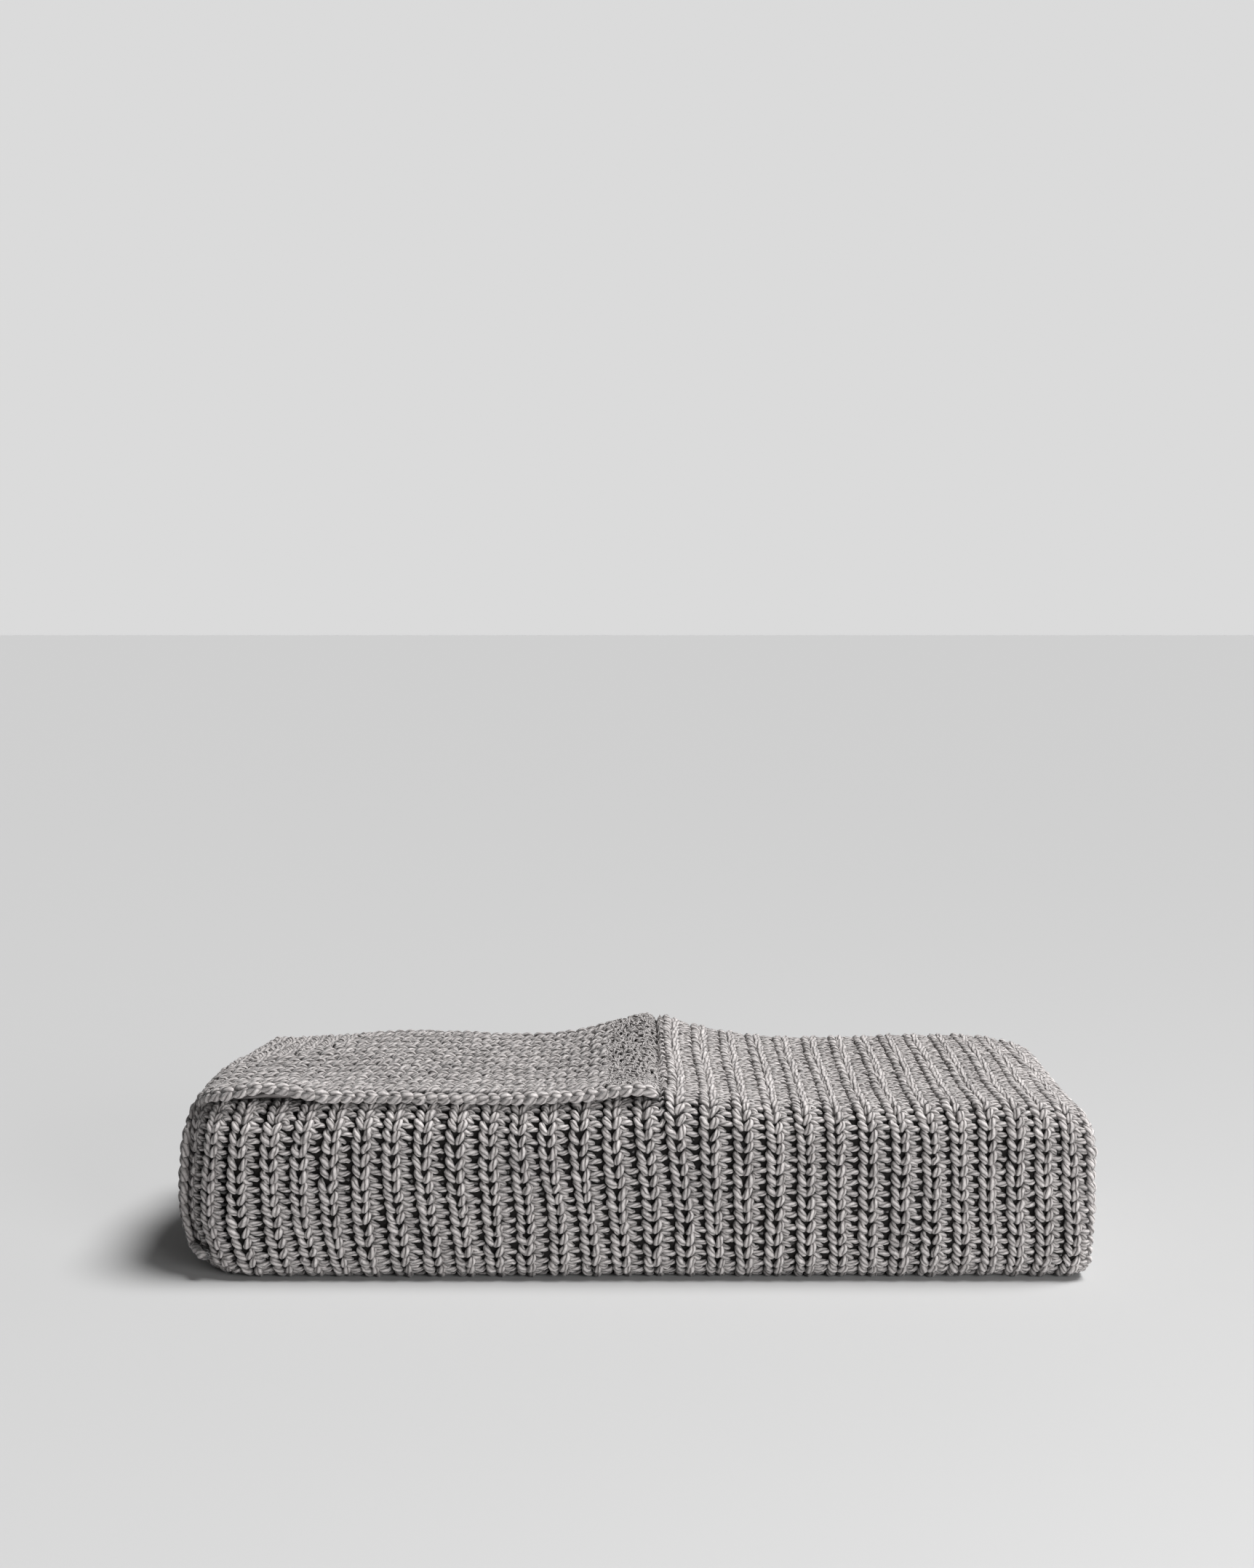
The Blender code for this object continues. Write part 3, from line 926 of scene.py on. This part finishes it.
def yarn_material(colours):
    """Twisted heather yarn: plies wound round it, light and dark fibres along them, and painted shade."""
    shader = Shader("heather_yarn")
    uv = shader.node("ShaderNodeUVMap", {"uv_map": "UVMap"}, {})
    split = shader.node("ShaderNodeSeparateXYZ", {}, {0: uv})
    around, along = split, Value(shader, split.socket.node.outputs[1])
    where = shader.places()
    tint = shader.attribute("tint")
    raised_and_painted_light = shader.attribute("raised_and_painted_light")
    phase = around * PLIES + along / LAY
    ply = ((phase * math.pi).sine()).size()
    round_ply = ply**0.6
    strands = shader.node("ShaderNodeCombineXYZ", {}, {0: phase * 2.0, 1: along * 160, 2: tint * 7})
    fibre = shader.noise(strands, 2.6, 3.0, 0.62)
    fleck = shader.noise(where, 430.0, 2.0, 0.6)
    patch = shader.noise(where, 42.0)
    share = (fibre - 0.5) * 1.3 + (fleck - 0.5) * 1.3 + (patch - 0.5) * 0.7 + tint * 0.10 + 0.60
    colour = shader.mix(share, tone(colours.dark), tone(colours.light))
    # Painted shade in the grooves between the plies, besides their bump.
    painted_groove_shade = shader.mix(round_ply, (0.34, 0.325, 0.32, 1), (1, 1, 1, 1))
    colour = shader.mix(1.0, colour, painted_groove_shade, "MULTIPLY")
    # Painted shade: where the painted light is low, the yarn is mixed towards a near-black dark tone.
    colour = shader.mix(raised_and_painted_light, tone(colours.dark, 0.16), colour)
    height = round_ply * 1.0 + fibre * 0.45
    bump = shader.node("ShaderNodeBump", {}, {"Strength": 1.0, "Distance": 0.0014, "Height": height})
    shader.feed(Base_Color=colour, Normal=bump, Roughness=0.88)
    shader.feed(Sheen_Weight=0.35, Sheen_Roughness=0.5, Specular_IOR_Level=0.25)
    return shader.material


def ground_material(colours):
    """The knit between the stitches, near black as painted shade, and painted lighter on top where light
    reaches it.
    """
    shader = Shader("knit_ground")
    raised_and_painted_light = shader.attribute("raised_and_painted_light")
    where = shader.places()
    fleck = shader.noise(where, 500.0)
    # A near-black painted-shade copy and a lighter painted-light copy of the ground's colour.
    shaded = shader.mix(fleck, tone(colours.ground, 0.6), tone(colours.ground, 1.4))
    lit = shader.mix(fleck, tone(colours.dark, 0.35), tone(colours.dark, 0.85))
    colour = shader.mix(raised_and_painted_light, shaded, lit)
    shader.feed(Base_Color=colour, Roughness=0.95, Specular_IOR_Level=0.1)
    return shader.material


def pressed_material(colours, row):
    """The underside, where the ribs lie pressed flat on the surface, with painted shade in their hollows."""
    shader = Shader("pressed_knit")
    where = shader.places()
    split = shader.node("ShaderNodeSeparateXYZ", {}, {0: where})
    x, y = split, Value(shader, split.socket.node.outputs[1])
    rib = ((x / RIB_WIDE).fraction() - 0.5).size()
    leg = ((y / row + rib * 2.2) * math.pi).sine().size()
    bar = ((y / row) * 2 * math.pi).sine().size()
    crest = 1 - shader.node("ShaderNodeMapRange", {}, {0: rib, 1: 0.20, 2: 0.30, 3: 0.0, 4: 1.0})
    height = leg**0.6 * crest + bar**0.7 * (1 - crest) * 0.55
    fleck = shader.noise(where, 430.0)
    # Painted shade: the pattern's hollows are darker, besides the bump.
    share = height * 0.7 + (fleck - 0.5) * 0.8 + 0.05
    colour = shader.mix(share, tone(colours.dark, 0.35), tone(colours.light))
    bump = shader.node("ShaderNodeBump", {}, {"Strength": 0.8, "Distance": 0.0015, "Height": height})
    shader.feed(Base_Color=colour, Normal=bump, Roughness=0.9)
    return shader.material


def yarn(context):
    """The heather yarn's material, which is made once."""
    return bpy.data.materials.get("heather_yarn") or yarn_material(context.scene.throw_colours)


def grid(edges, starts, row):
    """Cells of whole ribs, between edges, with one stitch at each start along them."""
    middle, wide = (edges[:-1] + edges[1:]) / 2, np.diff(edges)
    across, along = np.meshgrid(middle, starts, indexing="ij")
    wides = np.repeat(wide[:, None], len(starts), axis=1)
    return {
        "across": across.ravel(),
        "along": along.ravel(),
        "wide": wides.ravel(),
        "tall": np.full(across.size, row),
    }


def only(cells, keep):
    """The cells that are kept."""
    return {key: value[keep] if isinstance(value, np.ndarray) else value for key, value in cells.items()}


def knit(name, cells, parts, carry, sizes, sides, look, flip=1, seed=0):
    """Lays the parts of a stitch in every cell and adds them as one piece."""
    rng = np.random.default_rng(sizes.seed + seed)
    bundles = [courses(table, stations, cells, carry, sizes, rng, flip) for table, stations in parts]
    return put(name, tubes(name, bundles, cells.get("yarn", sizes.yarn), sides), look)


def front_starts(row):
    """Rows of the outer wrap, from the foot of the front, over the top, to the foot of the back."""
    first = BACK - LOOSE_END - (FRONT + BUNDLE / 2 + TURN) - row
    return np.arange(first, BACK_FOOT.start + BACK_FOOT.length, row)


def lean_of_ribs(across, along):
    """How the front's ribs drift sideways: rightwards to the foot, most of all left of the middle."""
    low = 1 - smooth(FRONT_FOOT.start, FRONT_TURN.start, along)
    drift = LEAN + LEAN_MORE * np.exp(-(((across - LEAN_X) / LEAN_WIDE) ** 2))
    left, right = smooth(LEFT, LEFT + LEAN_START, across), smooth(LEAN_RIGHT, RIGHT, across)
    return low * drift * left * (1 - LEAN_LESS * right)


class ThrowGround(bpy.types.Operator):
    """Lay the ground cloth on the folded solid."""

    bl_idname = "throw.ground"
    bl_label = "Lay the ground cloth"

    def execute(self, context):
        sizes, colours = context.scene.throw_sizes, context.scene.throw_colours
        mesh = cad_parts[NODE].data.copy()
        mesh.name = "folded_ground"
        shape = bmesh.new()
        shape.from_mesh(mesh)
        bmesh.ops.remove_doubles(shape, verts=shape.verts, dist=WELD)
        long = [
            edge for edge in shape.edges
            if edge.calc_length() > LONG_EDGE and edge.verts[0].co.z > LONG_EDGE_Z
        ]
        bmesh.ops.subdivide_edges(shape, edges=long, cuts=CUTS, use_grid_fill=True)
        bmesh.ops.triangulate(shape, faces=shape.faces)
        shape.normal_update()
        moves = [vert.normal * sizes.ground * (0 if vert.co.z < SOLE_Z else 1) for vert in shape.verts]
        for vert, move in zip(shape.verts, moves):
            vert.co -= move
        for vert in shape.verts:
            on_corner = vert.co.z > STACK_HEIGHT + CORNER_OVER and vert.co.x < FLAP_END + CORNER_PAST
            vert.co = plump(np.array(vert.co), float(on_corner))
        shape.normal_update()
        for face in shape.faces:
            face.smooth = True
            low = face.calc_center_median().z < PRESSED_Z
            face.material_index = int(low and face.normal.z < PRESSED_SLOPE)
        # Painted light: high faces that look up get the ground's lighter colour.
        lit = [
            float(smooth(*LIT_SLOPES, vert.normal.z) * smooth(*LIT_HEIGHTS, vert.co.z / STACK_HEIGHT))
            for vert in shape.verts
        ]
        shape.to_mesh(mesh)
        shape.free()
        layer = mesh.attributes.new("raised_and_painted_light", "FLOAT", "POINT")
        layer.data.foreach_set("value", lit)
        slots = np.zeros(len(mesh.polygons), np.int32)
        mesh.polygons.foreach_get("material_index", slots)
        piece = put("folded_ground", mesh, ground_material(colours), pressed_material(colours, sizes.row))
        mesh.polygons.foreach_set("material_index", slots)
        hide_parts(NODE)
        return {"FINISHED"}


class ThrowFront(bpy.types.Operator):
    """Knit the ribs of the tall front fold."""

    bl_idname = "throw.front"
    bl_label = "Knit the front"

    def execute(self, context):
        sizes = context.scene.throw_sizes
        starts = front_starts(sizes.row)
        starts = starts[starts < TOP_RUN.start + TOP_PAST]
        edges = np.concatenate([[FRONT_COLUMN], rib_edges(), [OUTER_COLUMN]])
        half = len(edges) // 2
        for name, some in (("front_ribs_left", edges[: half + 1]), ("front_ribs_right", edges[half:])):
            cells = grid(some, starts, sizes.row)
            # Painted shadow under the turned-up corner's edge, and near the floor.
            cells["dim"] = painted_shadow_under_corner
            cells["lean"] = lean_of_ribs
            knit(name, cells, FULL_RIB, on_stack, sizes, 8, yarn(context), seed=len(name))
        return {"FINISHED"}


class ThrowTop(bpy.types.Operator):
    """Knit the ribs that show on the top."""

    bl_idname = "throw.top"
    bl_label = "Knit the top"

    def execute(self, context):
        sizes = context.scene.throw_sizes
        top = TOP_RUN.start + TOP_PAST
        starts = front_starts(sizes.row)
        starts = starts[(starts >= top) & (starts < BACK_TURN.start + BACK_PAST)]
        cells = grid(np.append(rib_edges(), [OUTER_COLUMN]), starts, sizes.row)
        cells["lean"] = lean_of_ribs
        hidden = (cells["across"] < FLAP_END - HIDDEN_ACROSS) & (cells["along"] > top + HIDDEN_ALONG)
        cells["drift"] = CALM_DRIFT
        cells["shade"] = TOP_SHADE
        knit("top_ribs", only(cells, ~hidden), TOP_RIB, on_stack, sizes, 6, yarn(context), seed=31)
        return {"FINISHED"}


class ThrowBack(bpy.types.Operator):
    """Knit the folds that show at the back."""

    bl_idname = "throw.back"
    bl_label = "Knit the back"

    def execute(self, context):
        sizes = context.scene.throw_sizes
        edges = np.concatenate([[BACK_COLUMN], rib_edges(), [OUTER_COLUMN]])
        starts = front_starts(sizes.row)
        outer = grid(edges, starts[starts >= BACK_TURN.start + BACK_PAST], sizes.row)
        knit("back_ribs", outer, EASY_RIB, on_stack, sizes, 6, yarn(context), seed=41)
        first, length = INNER_BACK.start, INNER_BACK.length
        before, past = (sizes.row * more for more in INNER_MORE)
        starts = np.arange(first - before, first + length + past, sizes.row)
        inner = grid(edges, starts, sizes.row)
        knit("back_fold", inner, EASY_RIB, on_stack, sizes, 6, yarn(context), seed=43)
        return {"FINISHED"}


class ThrowFolds(bpy.types.Operator):
    """Knit the side folds of the layers inside, which show at the right end."""

    bl_idname = "throw.folds"
    bl_label = "Knit the right folds"

    def execute(self, context):
        sizes = context.scene.throw_sizes
        outside = MIDDLE.parts[7].start + MIDDLE.parts[7].length
        starts = np.arange(outside, MIDDLE.length - SIDE_SHORT, sizes.row)
        inner = grid(np.array(SIDE_COLUMNS), starts, sizes.row)
        knit("inner_folds", inner, EASY_RIB, on_side, sizes, 6, yarn(context), seed=51)
        starts = np.arange(FIRST_ROW, front_starts(sizes.row)[0], sizes.row)
        lowest = grid(np.array(SIDE_COLUMNS[:2]), starts, sizes.row)
        knit("lowest_fold", lowest, EASY_RIB, on_stack, sizes, 6, yarn(context), seed=53)
        return {"FINISHED"}


class ThrowEdges(bpy.types.Operator):
    """Bind the free edges at the back with chain stitches."""

    bl_idname = "throw.edges"
    bl_label = "Bind the free edges"

    def execute(self, context):
        sizes = context.scene.throw_sizes
        count = int((FOLD - LEFT) / CHAIN_LONG)
        cells = {
            "across": np.zeros(count),
            "along": LEFT + FIRST_ROW + CHAIN_LONG * np.arange(count),
            "wide": np.full(count, CHAIN_WIDE),
            "tall": np.full(count, CHAIN_LONG),
        }
        bundles = []
        rng = np.random.default_rng(sizes.seed + 61)
        for layer, side in ((0, 1), (0, -1), (1, 1), (1, -1)):
            middle = place(layer) + side * PITCH / 2

            def carry(u, v, out, middle=middle):
                y = BACK - LOOSE_END + out + CHAIN_OUT
                return settle(np.stack(np.broadcast_arrays(v, y, middle + u), axis=-1))

            for table in (CHAIN_LEFT, CHAIN_RIGHT):
                bundles.append(courses(table, CHAIN_STATIONS, cells, carry, sizes, rng))
        put("free_edges", tubes("free_edges", bundles, sizes.yarn * CHAIN_YARN, 6), yarn(context))
        return {"FINISHED"}


def mitre(across):
    """How far along the turned-up corner its back ribs reach, which run from front to back."""
    return SIDE_END + MITRE_REACH * smooth(MITRE - MITRE_SOFT, FLAP_WIDTH, across) * (across > MITRE)


class ThrowCorner(bpy.types.Operator):
    """Knit the turned-up corner: its ribs, its chain edge and its fine end band."""

    bl_idname = "throw.corner"
    bl_label = "Knit the turned-up corner"

    def execute(self, context):
        sizes = context.scene.throw_sizes
        self.chains(sizes, yarn(context))
        self.edge(sizes, yarn(context))
        self.band(sizes, yarn(context))
        return {"FINISHED"}

    def chains(self, sizes, look):
        """The ribs, and the askew ones that run from front to back at the back left."""
        edges = np.linspace(CORNER_INSET, FLAP_WIDTH + CORNER_OUTSET, CORNER_CHAINS + 1)
        cells = grid(edges, np.arange(CORNER_FIRST_ROW, FLAP.length - BAND_LONG, sizes.row), sizes.row)
        cells["shade"] = CORNER_SHADE
        # Painted shade on the corner's yarn, and painted contact shadow near the floor.
        cells["dim"] = painted_corner_shade
        turned = (cells["along"] > SIDE_END) & (cells["along"] < mitre(cells["across"]))
        knit("corner_ribs", only(cells, ~turned), CORNER_RIB, on_flap, sizes, 6, look, flip=-1, seed=71)
        edges = np.arange(SIDE_END - ASKEW_BACK, SIDE_END + ASKEW_LONG, ASKEW_WIDE)
        askew = grid(edges, np.arange(MITRE, FLAP_WIDTH, sizes.row), sizes.row)
        askew["shade"] = CORNER_SHADE
        # Painted shade on the corner's yarn, and painted contact shadow near the floor.
        askew["dim"] = painted_corner_shade
        turned = askew["across"] < mitre(askew["along"] + MITRE_OVERLAP[0]) + MITRE_OVERLAP[1]
        knit("corner_back_ribs", only(askew, turned), CORNER_RIB, across_flap, sizes, 6, look, seed=72)

    def edge(self, sizes, look):
        """The thick chain along the front edge."""
        row = sizes.row * EDGE_ROW
        cells = grid(np.array(EDGE_COLUMN), np.arange(FIRST_ROW, FLAP.length, row), row)
        cells["scale"] = EDGE_DEPTH
        cells["yarn"] = sizes.yarn * EDGE_YARN
        knit("corner_chain", cells, CORNER_EDGE, on_flap, sizes, 8, look, flip=-1, seed=73)

    def band(self, sizes, look):
        """The fine band at the end: short bent strands that lie every way."""
        starts = np.arange(FLAP.length - BAND_LONG + BAND_INSET, FLAP.length - BAND_INSET, BAND_ROW)
        edges = np.arange(BAND_FRONT, FLAP_WIDTH + BAND_BACK, BAND_COLUMN)
        cells = grid(edges, starts, BAND_COLUMN)
        rng = np.random.default_rng(sizes.seed)
        count = len(cells["across"])
        cells["turn"] = rng.uniform(-BAND_TURN, BAND_TURN, count)
        for key, stray in zip(("across", "along"), BAND_STRAY):
            cells[key] = cells[key] + rng.uniform(-stray, stray, count)
        cells["scale"] = BAND_DEPTH
        cells["shade"] = BAND_SHADE
        cells["yarn"] = sizes.band_yarn
        knit("end_band", cells, ((FINE_STRAND, 7),), on_flap, sizes, 6, look, flip=-1, seed=79)


class ThrowCloth(bpy.types.Operator):
    bl_idname = "throw.cloth"
    bl_label = "Declare the cloth"

    def execute(self, context):
        return {"FINISHED"}


class ThrowStage(bpy.types.Operator):
    """Set up the floor, the light and the camera."""

    bl_idname = "throw.stage"
    bl_label = "Set up the studio"

    def execute(self, context):
        studio = context.scene.throw_studio
        self.floor(context, studio)
        self.room(context, studio)
        self.lamps(context, studio)
        self.eye(context, studio)
        context.scene.view_settings.view_transform = "Standard"
        return {"FINISHED"}

    def floor(self, context, studio):
        """The pale floor."""
        shape = bmesh.new()
        bmesh.ops.create_grid(shape, x_segments=2, y_segments=2, size=FLOOR_HALF)
        mesh = bpy.data.meshes.new("floor")
        shape.to_mesh(mesh)
        shape.free()
        floor = bpy.data.objects.new("floor", mesh)
        context.scene.collection.objects.link(floor)
        floor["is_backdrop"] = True
        shader = Shader("pale_floor")
        shader.feed(Base_Color=tone((studio.pale,) * 3), Roughness=1.0, Specular_IOR_Level=0.0)
        mesh.materials.append(shader.material)

    def room(self, context, studio):
        """The room's light: pale low walls, a dark ceiling, and a darker wall behind the camera."""
        world = bpy.data.worlds.new("room")
        context.scene.world = world
        world.use_nodes = True
        room = Nodes(world.node_tree)
        way = room.node("ShaderNodeTexCoord", {}, {}, 0)
        split = room.node("ShaderNodeSeparateXYZ", {}, {0: way}, 2)
        heights = {0: split, 1: WALL_TOP, 2: CEILING_FROM, 3: studio.horizon, 4: studio.ceiling}
        walls = room.node("ShaderNodeMapRange", {}, heights)
        depth = Value(room, split.socket.node.outputs[1])
        depths = {0: depth, 1: -BEHIND, 2: BEHIND, 3: studio.near, 4: 1.0}
        behind = room.node("ShaderNodeMapRange", {}, depths)
        background = world.node_tree.nodes["Background"]
        room.join(walls * behind, background.inputs[1])
        background.inputs[0].default_value = (1, 1, 1, 1)

    def lamps(self, context, studio):
        """The key light from above and the soft fill at the right."""
        key = bpy.data.lights.new("key", "SUN")
        key.energy = studio.sun
        key.angle = studio.soft
        fill = bpy.data.lights.new("fill", "AREA")
        fill.energy = studio.fill
        fill.size = FILL_SIZE
        for light, at, turn in ((key, KEY_PLACE, KEY_TURN), (fill, FILL_PLACE, FILL_TURN)):
            lamp = bpy.data.objects.new(light.name, light)
            context.scene.collection.objects.link(lamp)
            lamp.location = at
            lamp.rotation_euler = [math.radians(degrees) for degrees in turn]

    def eye(self, context, studio):
        """The camera, placed as for the photograph."""
        camera = bpy.data.cameras.new("camera")
        camera.lens = studio.lens
        camera.sensor_width = 36
        camera.dof.use_dof = False
        camera.clip_end = 500
        eye = bpy.data.objects.new("camera", camera)
        context.scene.collection.objects.link(eye)
        eye.location = EYE_PLACE
        eye.rotation_euler = (math.radians(90 - EYE_DOWN), 0, 0)
        context.scene.camera = eye


STEPS = (
    ThrowGround,
    ThrowFront,
    ThrowTop,
    ThrowBack,
    ThrowFolds,
    ThrowEdges,
    ThrowCorner,
    ThrowCloth,
    ThrowStage,
)


class ThrowPanel(bpy.types.Panel):
    """Lists the steps and their sizes and colours."""

    bl_idname = "VIEW3D_PT_throw"
    bl_label = "Folded throw"
    bl_space_type = "VIEW_3D"
    bl_region_type = "UI"
    bl_category = "Throw"

    def draw(self, context):
        for group in (context.scene.throw_sizes, context.scene.throw_colours, context.scene.throw_studio):
            column = self.layout.column()
            for key in group.__annotations__:
                column.prop(group, key)
        for operator in STEPS:
            self.layout.operator(operator.bl_idname)


GROUPS = {"throw_sizes": Sizes, "throw_colours": Colours, "throw_studio": Studio}


def register():
    for item in (*GROUPS.values(), *STEPS, ThrowPanel):
        bpy.utils.register_class(item)
    for name, group in GROUPS.items():
        setattr(bpy.types.Scene, name, PointerProperty(type=group))


def unregister():
    for name in GROUPS:
        delattr(bpy.types.Scene, name)
    for item in (ThrowPanel, *reversed(STEPS), *GROUPS.values()):
        bpy.utils.unregister_class(item)


def main():
    register()
    for operator in STEPS:
        group, name = operator.bl_idname.split(".")
        getattr(getattr(bpy.ops, group), name)()


if __name__ == "__main__":
    main()
